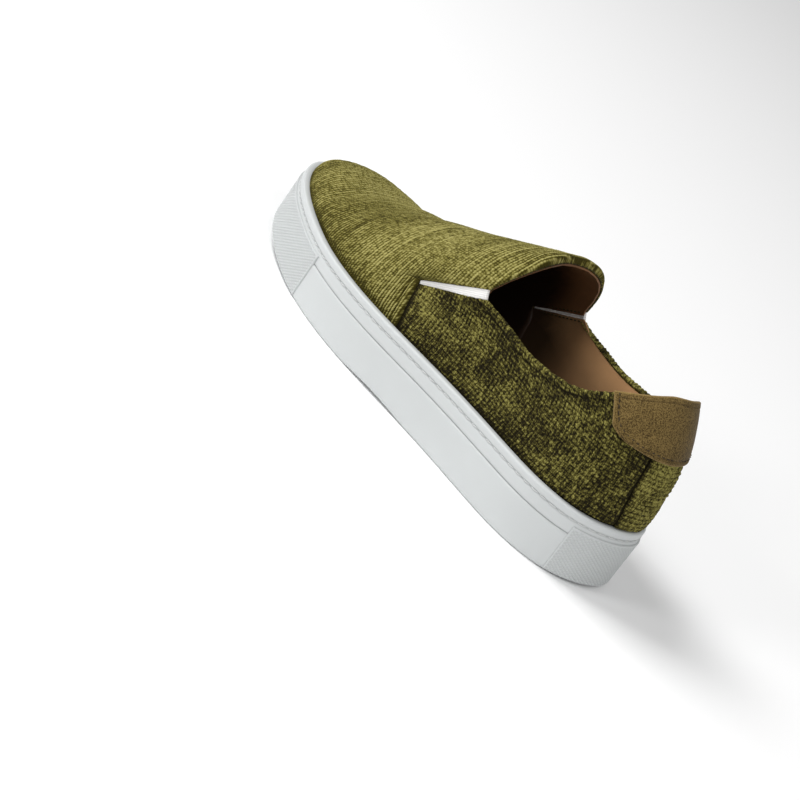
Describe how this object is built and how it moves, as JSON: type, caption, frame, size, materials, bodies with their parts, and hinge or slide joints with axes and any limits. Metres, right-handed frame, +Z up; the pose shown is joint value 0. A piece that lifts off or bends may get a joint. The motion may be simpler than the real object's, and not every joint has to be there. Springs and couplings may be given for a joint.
{
  "type": "slip-on shoe",
  "caption": "Low slip-on shoe for the left foot: rubber cup sole, hollow ribbed-cloth upper with a tongue, elastic gores at the sides and a suede heel tab. Stands empty on its sole.",
  "frame": {"origin": "on the floor, under the middle of the bounding box", "axes": "+X to the toe, +Y to the wearer's left, which is the lateral side, +Z up"},
  "size_m": [0.2612, 0.1032, 0.097],
  "materials": {
    "rubber": "satin white moulded rubber",
    "cloth": "olive ribbed knit, matt",
    "leather": "tan lining leather, matt",
    "suede": "olive-brown suede",
    "elastic": "white woven elastic"
  },
  "bodies": {
    "root": {"outsole": "rubber", "upper": "cloth", "insole": "leather", "heel_tab": "suede", "gore_lateral": "elastic", "gore_medial": "elastic"}
  },
  "joints": []
}
